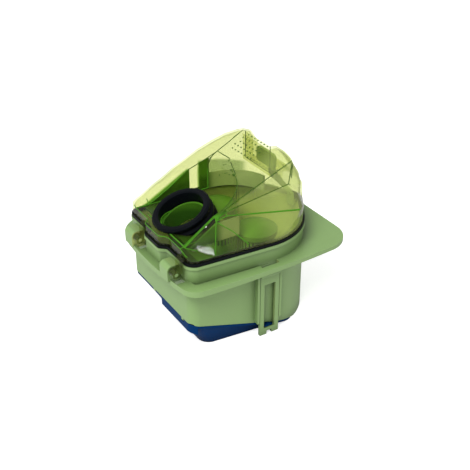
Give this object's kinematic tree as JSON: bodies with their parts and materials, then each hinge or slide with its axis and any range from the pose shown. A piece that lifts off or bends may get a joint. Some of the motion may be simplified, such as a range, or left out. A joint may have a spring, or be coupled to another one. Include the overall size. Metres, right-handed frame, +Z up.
{
  "type": "cyclone dust bin",
  "caption": "Vacuum cleaner dust bin: flanged green tub, clear hinged hood with a tilted inlet seal, blue tipping base flap, side latches and cyclone shrouds inside.",
  "frame": {"origin": "centre of the bounding box on the surface the bin stands on", "axes": "+X from the lid hinge to the rear nose, +Y to the far side, +Z up"},
  "size_m": [0.2142, 0.177, 0.1836],
  "materials": {
    "tub_green": "moulded pale green, soft gloss",
    "clear_green": "clear yellow-green moulding",
    "flap_blue": "moulded dark blue, soft gloss",
    "seal_black": "black moulded seal",
    "catch_green": "moulded light green",
    "pin_steel": "plain steel",
    "filter_white": "pleated filter paper"
  },
  "bodies": {
    "tub": {"bin_tub": "tub_green", "lid_hinge_pin_far": "tub_green", "lid_hinge_pin_near": "tub_green", "base_hinge_pin": "pin_steel", "side_latch_pin_near": "pin_steel", "side_latch_pin_far": "pin_steel", "separator_deck": "tub_green", "shroud_near": "tub_green", "shroud_far": "tub_green", "shroud_cap_near": "tub_green", "shroud_cap_far": "tub_green", "vortex_tube_near": "tub_green", "vortex_tube_far": "tub_green", "deck_screws": "pin_steel", "filter_frame": "tub_green", "pleated_filter": "filter_white"},
    "lid": {"lid_hood": "clear_green", "inlet_duct": "tub_green", "lid_gasket": "seal_black", "inlet_seal_ring": "seal_black", "lid_catch_pin": "pin_steel", "lid_catch_spring": "pin_steel"},
    "catch": {"lid_catch": "catch_green"},
    "flap": {"base_flap": "flap_blue", "base_seal": "seal_black"},
    "latch_near": {"side_latch_near": "tub_green"},
    "latch_far": {"side_latch_far": "tub_green"}
  },
  "joints": [
    {"name": "lid_hinge", "type": "hinge", "parent": "tub", "child": "lid", "pos_m": [-0.10145, 0, 0.1], "axis": [0, -1, 0], "range_deg": [0, 100]},
    {"name": "catch_hinge", "type": "hinge", "parent": "lid", "child": "catch", "pos_m": [0.06055, 0.003, 0.1415], "axis": [0, 1, 0], "range_deg": [0, 6], "stiffness_Nm_per_rad": 0.25, "springref_deg": -8.59},
    {"name": "flap_hinge", "type": "hinge", "parent": "tub", "child": "flap", "pos_m": [-0.08925, 0, 0.03449], "axis": [0, 1, 0], "range_deg": [0, 75]},
    {"name": "latch_near_hinge", "type": "hinge", "parent": "tub", "child": "latch_near", "pos_m": [-0.00145, -0.07837, 0.078], "axis": [-1, 0, 0], "range_deg": [0, 14]},
    {"name": "latch_far_hinge", "type": "hinge", "parent": "tub", "child": "latch_far", "pos_m": [-0.00145, 0.07837, 0.078], "axis": [1, 0, 0], "range_deg": [0, 14]}
  ]
}
